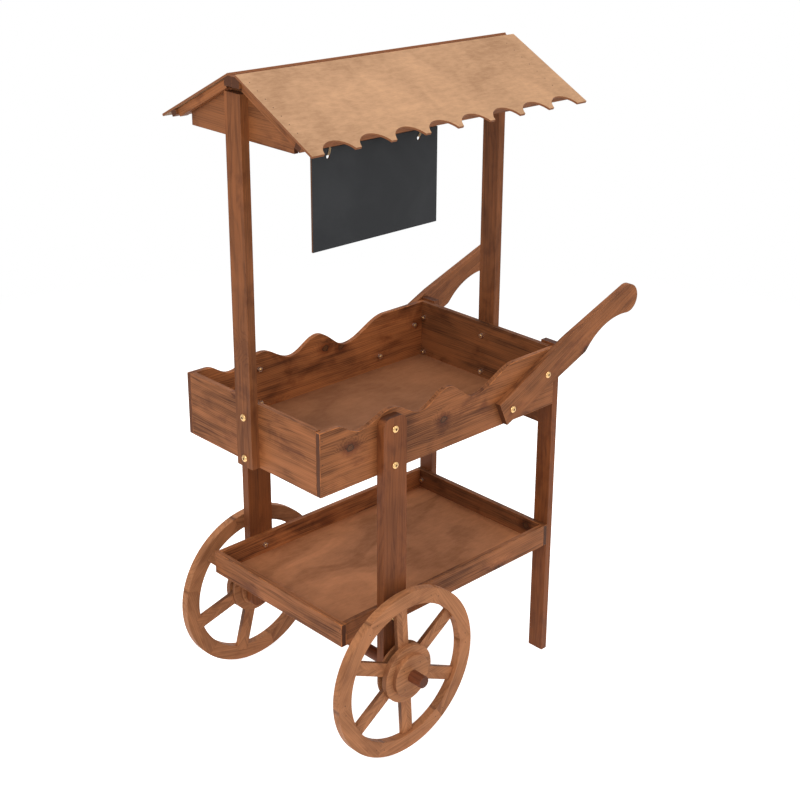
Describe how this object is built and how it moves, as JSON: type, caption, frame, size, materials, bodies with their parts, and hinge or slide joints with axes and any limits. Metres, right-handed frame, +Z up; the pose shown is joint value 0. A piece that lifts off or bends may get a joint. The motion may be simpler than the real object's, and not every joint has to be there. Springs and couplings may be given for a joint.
{
  "type": "flower cart stand",
  "caption": "Wooden flower cart stand with a wavy-edged tray, a lower shelf, spoked wheels, two handles, a scalloped gable roof on posts and a hanging chalkboard.",
  "frame": {"origin": "on the floor under the middle of the cart's outline", "axes": "+X from the wheels to the handles, +Z up, the chalkboard hangs on the -Y side"},
  "size_m": [0.9773, 0.64, 1.45],
  "materials": {
    "board_wood": "stained pine boards, satin",
    "frame_wood": "stained pine, reddish brown, satin",
    "handle_wood": "stained pine, satin",
    "batten_wood": "stained pine battens, satin",
    "roof_plywood": "stained plywood, satin",
    "floor_plywood": "stained plywood, satin",
    "wheel_wood": "stained fir, satin",
    "axle_wood": "stained dowel, satin",
    "chalkboard": "matt black chalkboard paint",
    "twine": "plain jute twine",
    "bolts": "dull brass plating",
    "nuts": "zinc plated",
    "staples": "plain wire"
  },
  "bodies": {
    "cart": {"axle": "axle_wood", "cross_rail": "frame_wood", "eave_batten_far": "batten_wood", "eave_batten_near": "batten_wood", "front_leg_bolts": "bolts", "front_leg_far": "frame_wood", "front_leg_near": "frame_wood", "front_leg_nuts": "nuts", "gusset_front": "frame_wood", "gusset_rear": "frame_wood", "handle_bolts": "bolts", "handle_far": "handle_wood", "handle_near": "handle_wood", "handle_nuts": "nuts", "hanging_staples": "staples", "post_bolts": "bolts", "post_front": "frame_wood", "post_nuts": "nuts", "post_rear": "frame_wood", "rafter_front_far": "batten_wood", "rafter_front_near": "batten_wood", "rafter_rear_far": "batten_wood", "rafter_rear_near": "batten_wood", "rear_leg_bolts": "bolts", "rear_leg_far": "frame_wood", "rear_leg_near": "frame_wood", "rear_leg_nuts": "nuts", "ridge_batten_far": "batten_wood", "ridge_batten_near": "batten_wood", "roof_panel_far": "roof_plywood", "roof_panel_near": "roof_plywood", "shelf_end_front": "board_wood", "shelf_end_rear": "board_wood", "shelf_floor": "floor_plywood", "shelf_side_far": "board_wood", "shelf_side_near": "board_wood", "tub_end_front": "board_wood", "tub_end_rear": "board_wood", "tub_floor": "floor_plywood", "tub_side_far": "board_wood", "tub_side_near": "board_wood"},
    "wheel_near": {"wheel_rim_near": "wheel_wood", "wheel_spokes_near": "wheel_wood", "hub_plates_near": "wheel_wood", "hub_bosses_near": "wheel_wood"},
    "wheel_far": {"wheel_rim_far": "wheel_wood", "wheel_spokes_far": "wheel_wood", "hub_plates_far": "wheel_wood", "hub_bosses_far": "wheel_wood"},
    "chalkboard": {"chalkboard_panel": "chalkboard", "twine_loops": "twine"}
  },
  "joints": [
    {"name": "wheel_near_turn", "type": "hinge", "parent": "cart", "child": "wheel_near", "pos_m": [-0.28157, -0.2602, 0.192], "axis": [0, 1, 0], "continuous": true},
    {"name": "wheel_far_turn", "type": "hinge", "parent": "cart", "child": "wheel_far", "pos_m": [-0.28157, 0.2602, 0.192], "axis": [0, 1, 0], "continuous": true},
    {"name": "chalkboard_swing", "type": "hinge", "parent": "cart", "child": "chalkboard", "pos_m": [-0.29407, -0.18606, 1.33558], "axis": [1, 0, 0], "range_deg": [-45, 45]}
  ]
}
